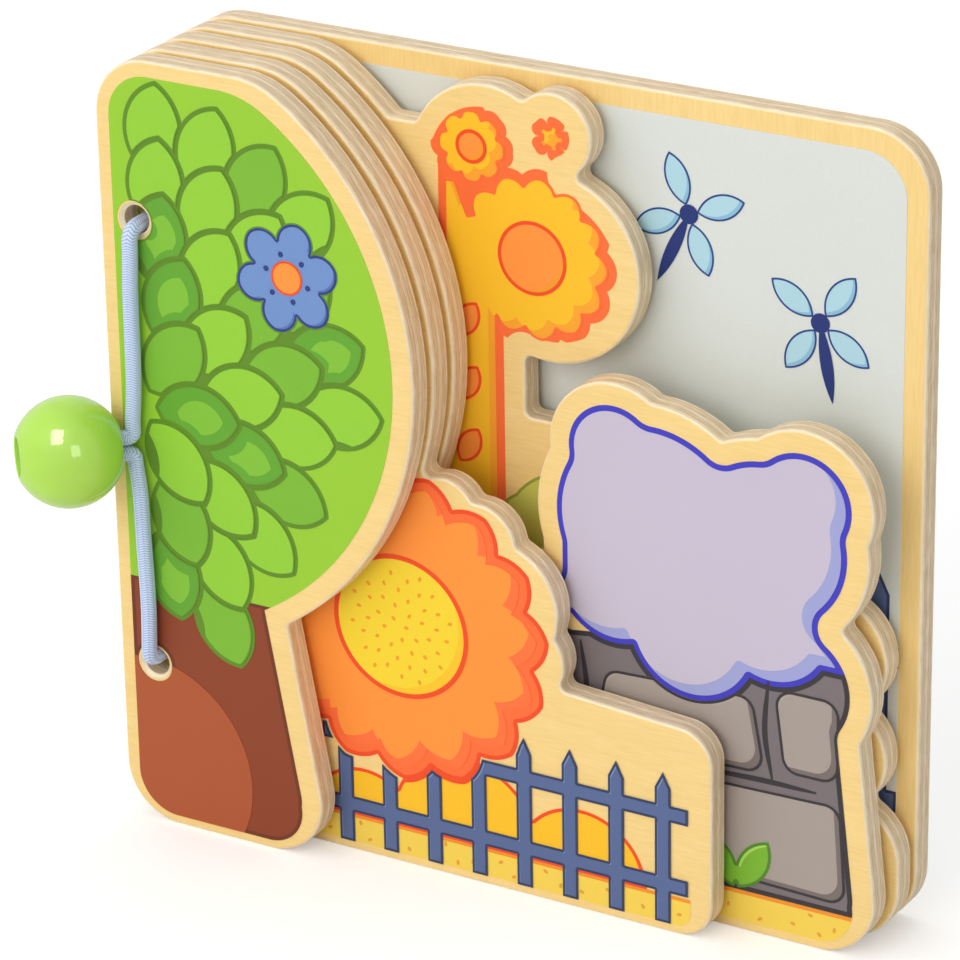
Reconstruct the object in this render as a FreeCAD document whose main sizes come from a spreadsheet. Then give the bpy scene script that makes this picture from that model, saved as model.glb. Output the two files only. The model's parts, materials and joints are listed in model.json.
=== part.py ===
"""Wooden baby book: five plywood boards strung on one elastic cord that ends in a bead.

The closed book stands on the boards' bottom edges.  X runs from the spine (low) to the open side,
Y from the front cover (low) to the back cover, and Z up.  The origin is at the middle of the stack,
on the boards' bottom edges.  Each board's outline and its print are composed of discs, plates and
leaves.  Their places and sizes are drawn in per cent of the board, so that they follow its size.
"""
import FreeCAD, Part
import Sketcher
import math
import os

SIZES = {
    "board_width": 112.0,
    "board_height": 112.0,
    "board_thickness": 4.0,
    "board_gap": 1.2,
    "corner_radius": 8.3,
    "edge_round": 0.5,
    "notch_radius": 1.0,
    "crown_x": 3.4,
    "crown_radius": 44.9,
    "crown_top_cut": 5.7,
    "crown_blend": 13.0,
    "hole_inset": 5.6,
    "upper_hole_height": 89.4,
    "lower_hole_height": 24.4,
    "hole_diameter": 4.0,
    "hole_rim_bevel": 0.5,
    "print_border": 3.1,
    "print_edge": 2.2,
    "print_foot": 1.4,
    "print_gap": 0.3,
    "ink_thickness": 0.06,
    "leaf_length": 13.0,
    "leaf_width": 8.6,
    "leaf_line": 0.45,
    "rosette_x": 5.0,
    "rosette_drop": 9.8,
    "first_ring_radius": 3.0,
    "ring_step": 7.6,
    "crown_skirt": 9.1,
    "cloud_line": 0.8,
    "cord_diameter": 2.2,
    "cord_clearance": 0.05,
    "cord_face_clearance": 0.1,
    "cord_rim_bend": 2.0,
    "pinch_bend": 2.2,
    "pinch_x": 4.8,
    "pinch_height": 57.4,
    "neck_length": 8.95,
    "neck_bearing": 46.0,
    "knot_diameter": 5.0,
    "knot_clearance": 0.3,
    "knot_seat_depth": 5.4,
    "bead_diameter": 15.4,
    "bead_flat_share": 0.91,
    "bead_edge_round": 0.5,
    "bead_bore_clearance": 0.1,
}

BOARDS = ["front_cover", "page_1", "page_2", "page_3", "back_cover"]
CORD_HOLES = ["lower_hole_height", "upper_hole_height"]
INK_LEVELS = 4
SPECK = 0.1
FLAT = 1e-6
UPRIGHT = FreeCAD.Vector(0, 0, 1)

doc = FreeCAD.newDocument("baby_book")
sheet = doc.addObject("Spreadsheet::Sheet", "sizes")
for row, (alias, value) in enumerate(SIZES.items(), start=1):
    sheet.set(f"A{row}", alias)
    sheet.set(f"B{row}", str(value))
    sheet.setAlias(f"B{row}", alias)
doc.recompute()


def size(alias):
    """One driving dimension, read back from the sheet."""
    return float(sheet.get(alias))


WIDTH = size("board_width")
HEIGHT = size("board_height")
DEPTH = len(BOARDS) * size("board_thickness") + (len(BOARDS) - 1) * size("board_gap")
PER_CENT = min(WIDTH, HEIGHT) / 100
CROWN = FreeCAD.Vector(size("crown_x"), HEIGHT + size("crown_top_cut") - size("crown_radius"), 0)


# ---- flat shapes, drawn in per cent of the board: x from the spine, z from the bottom edge ----

def drawn(length):
    """A real length as the drawing gives it."""
    return length / PER_CENT


def point(x, z):
    """A place on the drawing, stretched to the board."""
    return FreeCAD.Vector(x * WIDTH / 100, z * HEIGHT / 100, 0)


def round_field(centre, radius):
    """A round field at real lengths; its seam is at its spine side."""
    return Part.Face(Part.Wire([Part.makeCircle(radius, centre, UPRIGHT, 180, 540)]))


def disc(x, z, radius):
    """A round field on the drawing."""
    return round_field(point(x, z), radius * PER_CENT)


def rounded_wire(corners):
    """A closed outline of straight runs; a corner (place, radius) above radius 0 is a tangent arc."""
    arcs = []
    ends = []
    for index, (place, radius) in enumerate(corners):
        before = (corners[index - 1][0] - place).normalize()
        after = (corners[(index + 1) % len(corners)][0] - place).normalize()
        half = before.getAngle(after) / 2
        start = place + before * (radius / math.tan(half))
        end = place + after * (radius / math.tan(half))
        ends.append((start, end))
        if radius:
            middle = place + (before + after).normalize() * (radius / math.sin(half) - radius)
            arcs.append(Part.Arc(start, middle, end).toShape())
    runs = [Part.LineSegment(ends[index - 1][1], ends[index][0]).toShape() for index in range(len(ends))]
    return Part.Wire(Part.__sortEdges__(arcs + runs))


def plate(corners):
    """A straight-sided field; each corner is (x, z) or (x, z, radius)."""
    return Part.Face(rounded_wire([(point(*corner[:2]), PER_CENT * sum(corner[2:])) for corner in corners]))


def box_field(left, right, low, high, radius=0.0):
    """An upright rectangle at real lengths, its corners rounded."""
    places = [(left, low), (right, low), (right, high), (left, high)]
    return Part.Face(rounded_wire([(FreeCAD.Vector(x, z, 0), radius) for x, z in places]))


def band(low, high):
    """Everything between two heights on the drawing."""
    return plate([(-20, low), (120, low), (120, high), (-20, high)])


def slab(shape):
    """A flat shape as a slab one unit thick, because solids combine more cleanly than faces."""
    return shape.extrude(UPRIGHT)


def lower_faces(solid):
    """The underside of a slab, as a flat shape again."""
    faces = [face for face in solid.Faces if abs(face.CenterOfMass.z) < FLAT]
    return faces[0] if len(faces) == 1 else Part.makeCompound(faces)


def joined(shapes):
    """Several flat shapes as one, with the seams between them taken out."""
    slabs = [slab(face) for shape in shapes for face in shape.Faces]
    if len(slabs) == 1:
        return shapes[0].Faces[0]
    return lower_faces(slabs[0].multiFuse(slabs[1:]).removeSplitter())


def within(shape, window):
    """The part of a flat shape that lies inside another."""
    return lower_faces(slab(shape).common(slab(window)).removeSplitter())


def without(shape, cutters):
    """A flat shape less some others."""
    return lower_faces(slab(shape).cut([slab(cutter) for cutter in cutters]).removeSplitter())


def closed_up(shape):
    """A flat shape with the gaps inside it closed."""
    return joined([Part.Face(face.OuterWire) for face in shape.Faces])


def grown(shape, distance):
    """A flat shape grown (or, below zero, shrunk) all round by a distance."""
    return joined([face.makeOffset2D(distance) for face in shape.Faces])


def blunted(shape, radius):
    """A flat shape whose outer corners are rounded."""
    return grown(grown(shape, -radius), radius)


def filled(shape, radius):
    """A flat shape whose inner corners are rounded."""
    return grown(grown(shape, radius), -radius)


# ---- board outlines ----

TRUNK_LEAN = 0.182


def board_window(inset, corner):
    """The board's full rectangle, drawn in by an inset."""
    return box_field(inset, WIDTH - inset, inset, HEIGHT - inset, corner)


def crown(inset, top_inset):
    """The leafy crown that every board but the last has at its spine side, cut flat at the top."""
    below_top = box_field(-WIDTH, 2 * WIDTH, -HEIGHT, HEIGHT - top_inset)
    return blunted(within(round_field(CROWN, size("crown_radius") - inset), below_top), size("crown_blend"))


def trunk():
    """The tree's trunk, wider at its foot, up to the crown's middle."""
    top = 100 * CROWN.y / HEIGHT
    return [plate([(-20, 0), (30.1, 0, 7.6), (30.1 - TRUNK_LEAN * top, top), (-20, top)])]


def scalloped_form():
    """Page 1: a scalloped round form with a low step to its right."""
    return [
        plate([(-20, 0), (57.1, 0), (57.1, 29.5), (51.8, 41.1), (44.6, 48.2), (35.7, 51.8), (-20, 53.6)]),
        plate([(-20, 0), (80, 0, 4.5), (80, 27, 4.5), (53.6, 28.8), (-20, 28.8)]),
        disc(43.9, 48.1, 4.5),
        disc(48.7, 45.1, 5.1),
        disc(51.1, 37.7, 8.3),
        disc(55.4, 31.5, 4.8),
    ]


def lobed_form():
    """Page 2: a broad form with a lobe at each top corner and a third low on the right."""
    corner = drawn(size("corner_radius"))
    lobe_x, lobe_radius = 69.6, 15.4
    step = lobe_x - (lobe_radius - 0.7) * PER_CENT * 100 / WIDTH
    return [
        plate([(-20, 0), (99.9, 0, corner), (96.6, 29.5), (89.3, 42.4), (-20, 42.4)]),
        plate([(step, 26.8), (step, 50), (86.6, 50), (86.6, 26.8)]),
        disc(64.5, 58.4, 8.6),
        disc(lobe_x, 50, lobe_radius),
        disc(89.1, 56.8, 9.1),
        disc(84.7, 50.9, 13),
        disc(87.9, 33.5, 10.4),
    ]


def tall_form():
    """Page 3: a tall form with three lobes at its head and three small ones low on the right."""
    corner = drawn(size("corner_radius"))
    return [
        plate([(-20, 0), (89.3, 0), (89.3, 40.2), (55.4, 58.3), (50.1, 58.3), (50.1, 75), (41.1, 92.8),
               (25, 92.8), (-20, 80.4)]),
        disc(45.1, 88.8, 10.1),
        disc(54, 94, 5.2),
        disc(53.6, 77.7, 11.9),
        disc(90.2, 36.2, 7.7),
        disc(90.9, 23.7, 7.1),
        plate([(80.4, 0), (99.9, 0, corner), (99.9, 18.1, corner), (80.4, 18.1)]),
    ]


LOWER_FORMS = {
    "front_cover": trunk,
    "page_1": scalloped_form,
    "page_2": lobed_form,
    "page_3": tall_form,
}


def board_outline(name):
    """One board's face."""
    window = board_window(0, size("corner_radius"))
    if name not in LOWER_FORMS:
        return window
    return filled(within(joined([crown(0, 0)] + LOWER_FORMS[name]()), window), size("notch_radius"))


def print_window():
    """The box that all print stays in, closest to the board's bottom edge."""
    edge = size("print_edge")
    return box_field(edge, WIDTH - edge, size("print_foot"), HEIGHT - edge, size("corner_radius") - edge)


def printed_crown():
    """The crown's part inside the bare wooden border."""
    return crown(size("print_border"), size("print_edge"))


def footed(form):
    """A printed form drawn down to the narrow border at the board's bottom edge."""
    drop = size("print_border") - size("print_foot")
    return joined([form, within(form.translated(FreeCAD.Vector(0, -drop, 0)), band(-20, 11))])


def print_outline(name):
    """The largest field that can be printed on one board's face, inside its bare wooden border."""
    border = size("print_border")
    if name not in LOWER_FORMS:
        return board_window(border, size("corner_radius") - size("print_edge"))
    form = footed(grown(joined(LOWER_FORMS[name]()), -border))
    return within(joined([printed_crown(), form]), print_window())


# ---- printed motifs ----

PETAL_FOOT_SHARE = 0.7


def way(bearing):
    """The direction of a bearing, in degrees from +x."""
    return FreeCAD.Vector(math.cos(math.radians(bearing)), math.sin(math.radians(bearing)), 0)


def leaf(foot, length, width, bearing):
    """A pointed leaf: two arcs from its foot to its tip."""
    aside = way(bearing + 90) * (width * PER_CENT / 2)
    tip = foot + way(bearing) * (length * PER_CENT)
    middle = (foot + tip) / 2
    left = Part.Arc(foot, middle + aside, tip).toShape()
    right = Part.Arc(tip, middle - aside, foot).toShape()
    return Part.Face(Part.Wire([left, right]))


def flower(centre, count, inner, outer, width, start=0.0):
    """Petals round a centre, from an inner radius to an outer one."""
    petals = []
    for index in range(count):
        bearing = start + 360.0 * index / count
        petals.append(leaf(centre + way(bearing) * (inner * PER_CENT), outer - inner, width, bearing))
    return petals


def petals_and_eye(centre, count, reach, width, eye, start=0.0):
    """A round flower as one field: its petals and the disc they grow from."""
    ground = round_field(centre, eye * PER_CENT)
    return joined([ground] + flower(centre, count, eye * PETAL_FOOT_SHARE, reach, width, start))


def fence(first, last, pitch, picket, foot, top):
    """Pointed pickets on two rails."""
    shapes = []
    half = picket / 2
    for number in range(round((last - first) / pitch) + 1):
        x = first + number * pitch
        shapes.append(plate([(x - half, foot), (x + half, foot), (x + half, top - half), (x, top + half),
                             (x - half, top - half)]))
    for share in (0.22, 0.72):
        rail = foot + (top - foot) * share
        shapes.append(plate([(first - pitch / 2, rail), (last + pitch / 2, rail),
                             (last + pitch / 2, rail + picket), (first - pitch / 2, rail + picket)]))
    return joined(shapes)


ROSETTE_RINGS = 6
LEAF_CROWDING = 0.98
DARK_LEAF_EVERY = 5


def rosette_leaves(spread):
    """The crown's leaves, ring by ring from the middle, each drawn larger by a spread."""
    rings = []
    middle = FreeCAD.Vector(size("rosette_x"), CROWN.y - size("rosette_drop"), 0)
    length = size("leaf_length")
    width = size("leaf_width")
    for ring in range(ROSETTE_RINGS):
        foot_radius = size("first_ring_radius") + size("ring_step") * ring
        count = round(2 * math.pi * (foot_radius + length / 2) / (width * LEAF_CROWDING))
        rings.append(flower(middle, count, drawn(foot_radius - spread), drawn(foot_radius + length + spread),
                            drawn(width + 2 * spread), 180.0 / count * (ring % 2)))
    return rings


def shows_whole(one, area):
    """Whether a leaf's tip lies inside the printed area and no lower than the crown and its line."""
    tip = one.Vertexes[1].Point
    lowest = CROWN.y - size("crown_radius") - 2 * size("leaf_line")
    return area.isInside(tip, FLAT, True) and tip.y > lowest


def crown_leaves(area):
    """What shows of each light leaf, of each dark one, and of the line round them all.

    A leaf nearer the rosette's middle lies over the leaves outside it.
    """
    covers = rosette_leaves(size("leaf_line"))
    light, dark, lines = [], [], []
    for ring, leaves in enumerate(rosette_leaves(0)):
        for index, one in enumerate(leaves):
            if not shows_whole(one, area):
                continue
            over = [cover for other in covers[max(ring - 2, 0):ring] for cover in other]
            over.append(covers[ring][index - 1])
            over = [cover for cover in over if cover.BoundBox.intersect(one.BoundBox)]
            shown = max(within(without(one, over), area).Faces, key=lambda face: face.Area)
            is_dark = (index * 2 + ring) % DARK_LEAF_EVERY == 0
            (dark if is_dark else light).append(shown)
            lines.append(within(covers[ring][index], area))
    return light, dark, closed_up(joined(lines))


def hidden_crown(above):
    """The plain green crown on a page, above a height, that shows when the boards before it are turned."""
    return within(within(printed_crown(), print_window()), band(above, 120))


# ---- the print of each board: (node, ink level, shapes), where a higher level lies over a lower ----

def front_cover_print(area):
    """A tree: leafy crown with one blossom, and a two-tone trunk."""
    light, dark, foliage = crown_leaves(area)
    skirt = CROWN.y - size("crown_radius") + size("crown_skirt")
    bark = within(area, box_field(0, WIDTH, 0, skirt))
    blossom_place = CROWN + FreeCAD.Vector(26.1, 12.7, 0)
    blossom = petals_and_eye(blossom_place, 6, 7.1, 4.8, 2.9, 15.0)
    return [
        ("front_trunk", 0, [bark]),
        ("front_trunk_light", 1, [within(disc(4, 7.6, 14.7), bark)]),
        ("front_crown", 0, [within(area, box_field(0, WIDTH, skirt, HEIGHT))]),
        ("front_leaf_lines", 1, [foliage]),
        ("front_leaves", 2, [without(one, [blossom]) for one in light]),
        ("front_dark_leaves", 2, [without(one, [blossom]) for one in dark]),
        ("front_blossom", 2, [blossom]),
        ("front_blossom_eye", 3, [round_field(blossom_place, 2.4)]),
    ]


def page_1_print(area):
    """A large orange flower behind a picket fence."""
    rim = petals_and_eye(point(37.9, 32.1), 15, 20.5, 9.4, 13.4, 6.0)
    petals = petals_and_eye(point(37.9, 32.1), 15, 18.9, 7.3, 12.5, 6.0)
    bars = within(fence(29.5, 73.8, 6.3, 2.1, 1.2, 20.1), area)
    mounds = joined([disc(46.4, 6.2, 10.3), disc(62.5, 4.5, 8.9), disc(32.1, 3.6, 8)])
    mounds = within(within(mounds, band(1.2, 120)), area)
    sand = within(area, band(-20, 5))
    return [
        ("page_1_crown", 0, [without(hidden_crown(33.9), [rim])]),
        ("page_1_sand", 0, [sand]),
        ("page_1_mounds", 0, [without(mounds, [sand, rim])]),
        ("page_1_petal_tips", 0, [without(rim, [sand])]),
        ("page_1_petals", 1, [petals]),
        ("page_1_flower_eye", 2, [disc(37.9, 32.1, 9.4)]),
        ("page_1_fence", 2, [without(bars, [grown(rim, size("print_gap"))])]),
    ]


def page_2_print(area):
    """A lavender cloud over a wall of grey blocks."""
    rock_line = plate([(44.6, -20), (120, -20), (120, 36.2), (90.2, 38.8), (75, 36.6), (58.9, 34.4),
                       (44.6, 36.6)])
    rocks = within(within(area, rock_line), band(5.4, 120))
    sky_part = within(area, plate([(53.6, 36.6), (120, 36.6), (120, 120), (53.6, 120)]))
    puffs = [disc(64.7, 42, 8), disc(75, 37.5, 8.5), disc(85.3, 41.1, 8)]
    rim = within(joined([sky_part] + puffs), area)
    blocks = [
        plate([(58.9, 8, 2.2), (75.9, 7.1, 2.2), (74.1, 18.7, 2.2), (59.8, 17.9, 2.2)]),
        plate([(78.6, 7.1, 2.2), (95.5, 6.6, 2.2), (94.6, 19.6, 2.2), (76.8, 19.2, 2.2)]),
        plate([(61.6, 21, 2.2), (84.8, 21.4, 2.2), (83, 31.2, 2.2), (63.4, 30.4, 2.2)]),
        plate([(87.1, 22.3, 2.2), (94.3, 22.3, 2.2), (94.3, 33, 2.2), (85.7, 33, 2.2)]),
    ]
    tuft = [leaf(point(81.2, 5.7), 8, 3.9, 60.0), leaf(point(80.7, 5.7), 7.1, 3.6, 118.0)]
    return [
        ("page_2_crown", 0, [hidden_crown(35.7)]),
        ("page_2_sand", 0, [within(area, band(-20, 5.4))]),
        ("page_2_rocks", 0, [without(rocks, [rim])]),
        ("page_2_rock_tops", 1, [without(within(block, rocks), [rim]) for block in blocks]),
        ("page_2_cloud_line", 0, [rim]),
        ("page_2_cloud", 1, [grown(rim, -size("cloud_line"))]),
        ("page_2_tuft", 2, [joined(tuft)]),
    ]


def page_3_print(area):
    """A tall yellow plant with three flower heads, in an olive meadow."""
    heads = [(51.4, 78.6, 13, 11.2, 5.9, 7.5), (43.4, 91.1, 8, 5.5, 4.1, 3.4), (54.1, 93.8, 5, 2.7, 2.3, 1.6)]
    rims = [petals_and_eye(point(x, z), *form) for x, z, *form in heads]
    fills = [petals_and_eye(point(x, z), count, reach - 1, width - 1.2, eye - 0.4)
             for x, z, count, reach, width, eye in heads]
    stem_line = plate([(37.9, 3.6), (47.3, 3.6), (47.3, 75), (41.1, 90.2), (38.8, 89.3)])
    stem = plate([(38.7, 3.6), (46.5, 3.6), (46.5, 73.2), (41.1, 86.6), (39.6, 86.6)])
    meadow = within(area, band(-20, 39.3))
    foliage = [leaf(point(47.3, 39.3), 15.2, 7.1, 58.0), leaf(point(47.3, 37.5), 13.4, 7.1, 30.0),
               leaf(point(47.3, 35.7), 12.5, 6.2, 84.0)]
    rim = within(joined(rims + [stem_line]), area)
    return [
        ("page_3_crown", 0, [without(hidden_crown(39.3), [rim])]),
        ("page_3_meadow", 0, [without(meadow, [rim])]),
        ("page_3_foliage", 0, [without(within(joined(foliage), area), [rim, meadow])]),
        ("page_3_plant_line", 0, [rim]),
        ("page_3_plant", 1, [joined(fills + [stem])]),
        ("page_3_patches", 2, [leaf(point(41.1, z), 5.4, 3.2, 60.0) for z in (42.9, 50.9, 58.9, 67)]),
        ("page_3_flower_eyes", 2, [disc(51.4, 78.6, 4.6), disc(43.4, 91.1, 2.1)]),
    ]


def back_cover_print(area):
    """Two pinwheels in a pale sky, over a strip of sand and a fence."""
    sand = within(area, band(-20, 7.1))
    wings, rods = [], []
    for x, z, turn in ((69.6, 85.7, 20.0), (86.6, 75.4, 55.0)):
        wings += flower(point(x, z), 4, 1.1, 7.7, 3.2, turn)
        rods.append(joined([disc(x, z, 1.2), leaf(point(x, z), 9.8, 1.6, turn + 225.0)]))
    return [
        ("back_cover_sky", 0, [without(area, [sand])]),
        ("back_cover_sand", 0, [sand]),
        ("back_cover_fence", 1, [within(fence(88.4, 94.6, 6.2, 2.7, 7.1, 44.6), area)]),
        ("back_cover_pinwheels", 1, wings),
        ("back_cover_pinwheel_hubs", 2, rods),
    ]


PRINTS = {
    "front_cover": front_cover_print,
    "page_1": page_1_print,
    "page_2": page_2_print,
    "page_3": page_3_print,
    "back_cover": back_cover_print,
}


# ---- the document's solids ----

def bind(thing, **expressions):
    """Bind properties of one object to expressions on the sheet."""
    for name, expression in expressions.items():
        thing.setExpression(name.replace("__", "."), expression)


def bind_to_board(thing, index, behind):
    """Bind an object's place to one board's front face, moved back by an expression."""
    count = len(BOARDS)
    front = (f"-({count} * sizes.board_thickness + {count - 1} * sizes.board_gap) / 2"
             f" + {index} * (sizes.board_thickness + sizes.board_gap)")
    bind(thing, Placement__Base__x="-sizes.board_width / 2", Placement__Base__y=f"{front} + {behind}")


def sketch_on_face(body, name):
    """An empty sketch on a body's own upright plane."""
    sketch = body.newObject("Sketcher::SketchObject", name)
    plane = next(feature for feature in body.Origin.OriginFeatures if feature.Role == "XZ_Plane")
    sketch.AttachmentSupport = [(plane, "")]
    sketch.MapMode = "FlatFace"
    return sketch


def numbered_edges(shape, wanted):
    """The names of the edges that a test picks out."""
    return [f"Edge{number}" for number, edge in enumerate(shape.Edges, start=1) if wanted(edge)]


def draw_cord_holes(sketch):
    """Both cord holes, held by their inset, heights and diameter."""
    for number, level in enumerate(CORD_HOLES):
        centre = FreeCAD.Vector(size("hole_inset"), size(level), 0)
        sketch.addGeometry(Part.Circle(centre, UPRIGHT, size("hole_diameter") / 2))
        held = [
            (Sketcher.Constraint("DistanceX", -1, 1, number, 3, centre.x), "sizes.hole_inset"),
            (Sketcher.Constraint("DistanceY", -1, 1, number, 3, centre.y), "sizes." + level),
            (Sketcher.Constraint("Diameter", number, size("hole_diameter")), "sizes.hole_diameter"),
        ]
        for constraint, formula in held:
            sketch.setExpression(f"Constraints[{sketch.addConstraint(constraint)}]", formula)


def board_body(index, name):
    """One plywood board: the outline padded, two cord holes cut and bevelled, its outer edges rounded."""
    body = doc.addObject("PartDesign::Body", name)
    body.Label = name
    outline = sketch_on_face(body, name + "_outline")
    for edge in board_outline(name).Faces[0].OuterWire.Edges:
        if isinstance(edge.Curve, Part.Line):
            outline.addGeometry(Part.LineSegment(edge.firstVertex().Point, edge.lastVertex().Point))
        else:
            outline.addGeometry(Part.ArcOfCircle(edge.Curve, edge.FirstParameter, edge.LastParameter))
    pad = body.newObject("PartDesign::Pad", name + "_pad")
    pad.Profile = outline
    bind(pad, Length="sizes.board_thickness")
    doc.recompute()
    holes = sketch_on_face(body, name + "_cord_holes")
    draw_cord_holes(holes)
    pocket = body.newObject("PartDesign::Pocket", name + "_holes")
    pocket.Profile = holes
    pocket.Type = "ThroughAll"
    pocket.Midplane = True
    doc.recompute()
    bevel = body.newObject("PartDesign::Chamfer", name + "_hole_rims")
    rims = numbered_edges(pocket.Shape, lambda edge: isinstance(edge.Curve, Part.Circle) and edge.isClosed())
    bevel.Base = (pocket, rims)
    bind(bevel, Size="sizes.hole_rim_bevel")
    doc.recompute()
    faces = [face for face in bevel.Shape.Faces
             if isinstance(face.Surface, Part.Plane) and abs(abs(face.normalAt(0, 0).y) - 1) < FLAT]
    outer = {edge.hashCode() for face in faces for edge in face.OuterWire.Edges}
    rounded = body.newObject("PartDesign::Fillet", name + "_edges")
    rounded.Base = (bevel, numbered_edges(bevel.Shape, lambda edge: edge.hashCode() in outer))
    bind(rounded, Radius="sizes.edge_round")
    body.Tip = rounded
    bind_to_board(body, index, "sizes.board_thickness")
    return body


def hole_ring(level):
    """The round that print leaves bare at a cord hole."""
    radius = size("hole_diameter") / 2 + size("hole_rim_bevel") + size("print_gap")
    return round_field(FreeCAD.Vector(size("hole_inset"), size(level), 0), radius)


def print_field(name, index, shapes, behind):
    """One colour of ink on a board: its flat shapes, one ink thickness deep."""
    bare = [hole_ring(level) for level in CORD_HOLES]
    pieces = [without(face, bare) for shape in shapes for face in shape.Faces]
    flat = doc.addObject("Part::Feature", name + "_shape")
    flat.Shape = Part.makeCompound([face for piece in pieces for face in piece.Faces if face.Area > SPECK])
    ink = doc.addObject("Part::Extrusion", name)
    ink.Label = name
    ink.Base = flat
    ink.DirMode = "Custom"
    ink.Dir = UPRIGHT
    ink.Solid = True
    bind(ink, LengthFwd="sizes.ink_thickness")
    ink.Placement = FreeCAD.Placement(FreeCAD.Vector(), FreeCAD.Rotation(FreeCAD.Vector(1, 0, 0), 90))
    bind_to_board(ink, index, behind)
    return ink


def bead_axis():
    """The way the bead hangs out from the pinch of the cord, level and away from the spine."""
    bearing = math.radians(size("neck_bearing"))
    return FreeCAD.Vector(-math.sin(bearing), -math.cos(bearing), 0)


def cord_face():
    """How far from the middle of the stack the cord's middle line runs, clear of all the ink."""
    ink = INK_LEVELS * size("ink_thickness")
    return DEPTH / 2 + ink + size("cord_face_clearance") + size("cord_diameter") / 2


def pinch_point():
    """Where the two front strands meet."""
    return FreeCAD.Vector(-WIDTH / 2 + size("pinch_x"), -cord_face(), size("pinch_height"))


def bead_flat():
    """How far the bead's flats lie from its middle."""
    return size("bead_diameter") / 2 * size("bead_flat_share")


def bead():
    """The turned ball: flat at both ends of its bore, with a wider seat for the knot outside."""
    radius = size("bead_diameter") / 2
    flat = bead_flat()
    flat_radius = math.sqrt(radius ** 2 - flat ** 2)
    bore = size("cord_diameter") + size("cord_clearance") / 2 + size("bead_bore_clearance")
    seat = size("knot_diameter") / 2 + size("knot_clearance")
    seat_floor = flat - size("knot_seat_depth")
    body = doc.addObject("PartDesign::Body", "bead")
    body.Label = "bead"
    profile = sketch_on_face(body, "bead_profile")
    corners = [(flat_radius, flat), (seat, flat), (seat, seat_floor), (bore, seat_floor),
               (bore, -flat), (flat_radius, -flat)]
    places = [FreeCAD.Vector(across, along, 0) for across, along in corners]
    for start, end in zip(places, places[1:]):
        profile.addGeometry(Part.LineSegment(start, end))
    profile.addGeometry(Part.Arc(places[-1], FreeCAD.Vector(radius, 0, 0), places[0]))
    ball = body.newObject("PartDesign::Revolution", "bead_ball")
    ball.Profile = profile
    ball.ReferenceAxis = (profile, ["V_Axis"])
    doc.recompute()
    softened = body.newObject("PartDesign::Fillet", "bead_rims")
    rims = numbered_edges(ball.Shape, lambda edge: isinstance(edge.Curve, Part.Circle)
                          and abs(edge.Curve.Radius - flat_radius) < FLAT)
    softened.Base = (ball, rims)
    bind(softened, Radius="sizes.bead_edge_round")
    body.Tip = softened
    outward = bead_axis()
    body.Placement = FreeCAD.Placement(pinch_point() + outward * size("neck_length"),
                                       FreeCAD.Rotation(UPRIGHT, outward))
    return body


RUN_SHARE = 0.45


def bend_radius(corner, before, after, radius):
    """The given radius of a bend, or the largest that its two runs leave room for."""
    if radius is not None:
        return radius
    shorter = min(corner.distanceToPoint(before), corner.distanceToPoint(after))
    half = (before - corner).getAngle(after - corner) / 2
    return RUN_SHARE * shorter * math.tan(half)


def tube(points, radii, diameter):
    """A round cord along straight runs joined by tangent arcs, one radius to each inner point."""
    edges = []
    last = points[0]
    for index, given in enumerate(radii, start=1):
        corner = points[index]
        before = (points[index - 1] - corner).normalize()
        after = (points[index + 1] - corner).normalize()
        half = before.getAngle(after) / 2
        radius = bend_radius(corner, points[index - 1], points[index + 1], given)
        start = corner + before * (radius / math.tan(half))
        end = corner + after * (radius / math.tan(half))
        middle = corner + (before + after).normalize() * (radius / math.sin(half) - radius)
        edges.append(Part.LineSegment(last, start).toShape())
        edges.append(Part.Arc(start, middle, end).toShape())
        last = end
        print("cord bend", round(radius, 2))
    edges.append(Part.LineSegment(last, points[-1]).toShape())
    path = Part.Wire(edges)
    section = Part.Wire([Part.makeCircle(diameter / 2, points[0], points[1] - points[0])])
    strand = path.makePipeShell([section], True, False)
    print("cord length", round(path.Length, 1), "volume share",
          round(strand.Volume / (math.pi * diameter ** 2 / 4 * path.Length), 4))
    return strand


# Each front strand's points, as shares of the way from the pinch to the hole: across, then up or down.
UPPER_STRAND = [(0.31, 0.16), (0.60, 0.40), (0.62, 0.73)]
LOWER_STRAND = [(0.75, 0.17), (1.08, 0.40), (1.37, 0.71)]


def half_cord(knot, side, level, strand):
    """One half of the elastic: knot, pinch, front strand, hole through all boards, back to the middle."""
    diameter = size("cord_diameter")
    pinch = pinch_point()
    lift = UPRIGHT * (side * (diameter + size("cord_clearance")) / 2)
    slack = (size("hole_diameter") - diameter) / 2 - size("cord_clearance")
    hole = FreeCAD.Vector(-WIDTH / 2 + size("hole_inset"), pinch.y, size(level) - side * slack)
    middle_height = sum(size(other) for other in CORD_HOLES) / 2
    points = [knot + lift, pinch + lift]
    for across, up in strand:
        x = pinch.x + (hole.x - pinch.x) * across
        points.append(FreeCAD.Vector(x, pinch.y, pinch.z + (hole.z - pinch.z) * up))
    points.append(hole)
    points += [FreeCAD.Vector(hole.x, cord_face(), z) for z in (hole.z, middle_height)]
    radii = [size("pinch_bend")] + [None] * len(strand) + [size("cord_rim_bend")] * 2
    return tube(points, radii, diameter)


def cord():
    """The elastic: from its knot in the bead, round through both holes of every board and back."""
    reach = size("neck_length") + bead_flat() - size("knot_seat_depth") / 2
    knot = pinch_point() + bead_axis() * reach
    upper = half_cord(knot, 1, "upper_hole_height", UPPER_STRAND)
    lower = half_cord(knot, -1, "lower_hole_height", LOWER_STRAND)
    ball = Part.makeSphere(size("knot_diameter") / 2, knot)
    elastic = doc.addObject("Part::Feature", "elastic_cord")
    elastic.Label = "elastic_cord"
    elastic.Shape = upper.fuse([lower, ball]).removeSplitter()
    return elastic


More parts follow.
